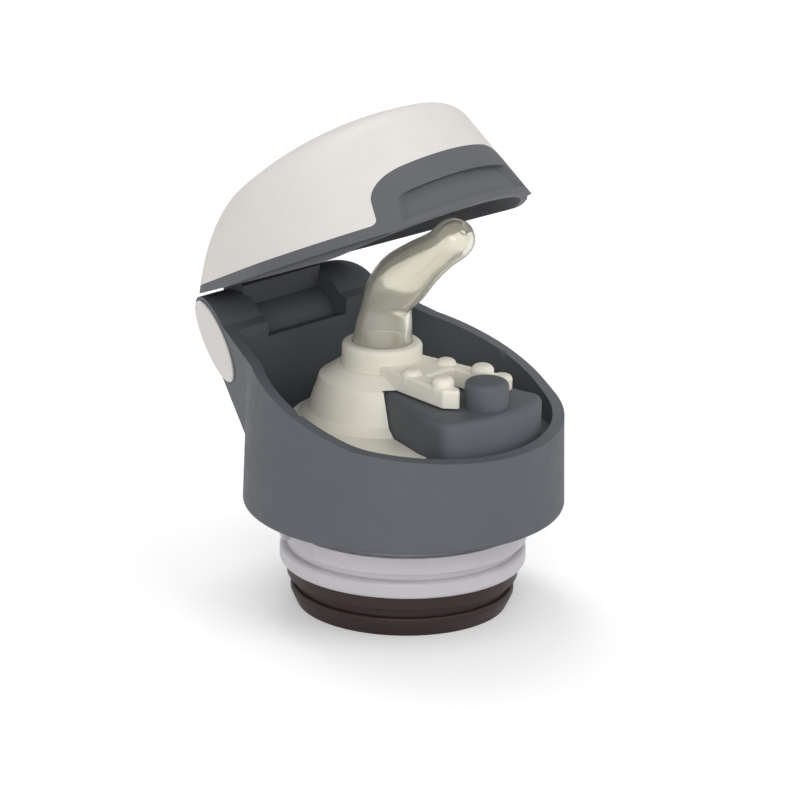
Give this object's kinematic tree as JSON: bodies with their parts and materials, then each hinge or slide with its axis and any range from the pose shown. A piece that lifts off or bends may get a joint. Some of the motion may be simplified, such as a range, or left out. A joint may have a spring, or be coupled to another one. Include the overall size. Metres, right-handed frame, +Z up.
{
  "type": "water bottle cap",
  "caption": "Flip-top screw cap for a water bottle, with a hinged lid, a bent soft spout on a round base, a threaded plug and a ribbed gasket.",
  "frame": {"origin": "centre of the plug's foot, on the axis of the thread, where the gasket stands", "axes": "+Z up along the thread's axis, -Y to the front with the catch, +Y to the hinge, +X to the right as seen from the front"},
  "size_m": [0.068, 0.083, 0.1079],
  "materials": {
    "grey_body": "matte moulded",
    "grey_lid": "matte moulded",
    "white_plastic": "satin moulded",
    "cream_plastic": "satin moulded",
    "plug_plastic": "milky moulded",
    "soft_silicone": "milky translucent",
    "brown_gasket": "satin silicone",
    "pin_steel": "drawn"
  },
  "bodies": {
    "body": {"body_shell": "grey_body", "threaded_plug": "plug_plastic", "plug_gasket": "brown_gasket", "spout_base": "cream_plastic", "vent_valve": "cream_plastic", "hinge_cap_left": "white_plastic", "hinge_cap_right": "white_plastic"},
    "hinge_pin": {"hinge_pin": "pin_steel"},
    "lid": {"lid_shell": "grey_lid", "lid_cover": "white_plastic"},
    "mouthpiece": {"mouthpiece": "soft_silicone"}
  },
  "joints": [
    {"name": "lid_close", "type": "hinge", "parent": "body", "child": "hinge_pin", "pos_m": [0, 0.039, 0.0522], "axis": [-1, 0, 0], "range_deg": [-41, 0]},
    {"name": "lid_open", "type": "hinge", "parent": "hinge_pin", "child": "lid", "pos_m": [0, 0.039, 0.0522], "axis": [-1, 0, 0], "range_deg": [0, 69]},
    {"name": "mouthpiece_fold", "type": "hinge", "parent": "body", "child": "mouthpiece", "pos_m": [0, 0.0055, 0.066], "axis": [-1, 0, 0], "range_deg": [-61.5, 0], "deforming": ["mouthpiece"]}
  ],
  "couplings": [
    {"joint": "mouthpiece_fold", "follows": "lid_close", "ratio": 1.5}
  ]
}
